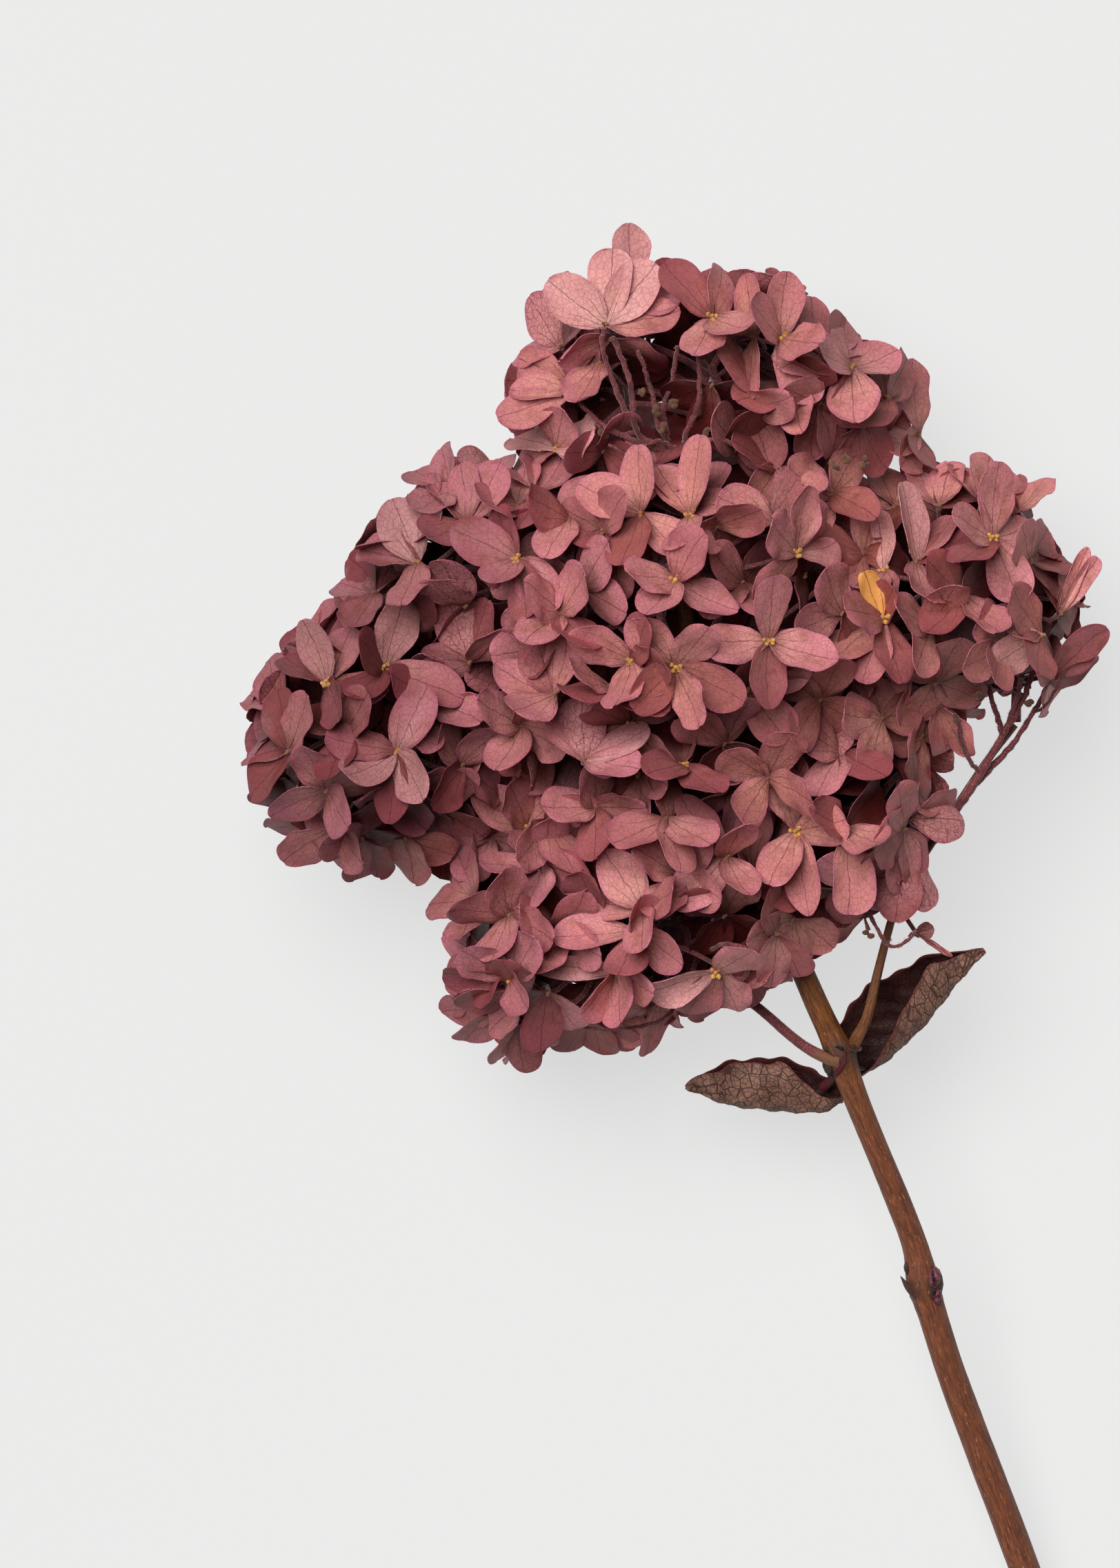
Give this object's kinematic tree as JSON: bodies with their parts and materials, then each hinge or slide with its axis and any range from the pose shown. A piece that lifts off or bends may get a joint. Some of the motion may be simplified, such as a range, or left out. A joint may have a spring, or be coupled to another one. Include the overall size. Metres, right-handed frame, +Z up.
{
  "type": "preserved hydrangea stem",
  "caption": "Cut and dried hydrangea stem lying down: a broad, lobed head of papery florets on a slender woody stem with side shoots and curled leaves.",
  "frame": {"origin": "middle of the flat face of the lowest sepal under the middle of the head, on the surface that the stem lies on", "axes": "+Y along the stem from its cut end towards the head, +Z up from the surface, +X to the right seen from above"},
  "size_m": [0.22, 0.3847, 0.122],
  "materials": {
    "wood": "dry, faintly ridged bark",
    "plum_stalk": "dull, downy",
    "leaf": "dull, netted with veins",
    "sepals": "soft sheen, netted with veins"
  },
  "bodies": {
    "root": {"stem": "wood", "side_shoot_right": "wood", "side_shoot_left": "plum_stalk", "leaf_left": "leaf", "leaf_right": "leaf", "spray_centre": "sepals", "spray_top": "sepals", "spray_upper_left": "sepals", "spray_left": "sepals", "spray_right": "sepals", "spray_lower_right": "sepals", "spray_bottom": "sepals", "spray_bottom_left": "sepals", "spray_under": "sepals"}
  },
  "joints": []
}
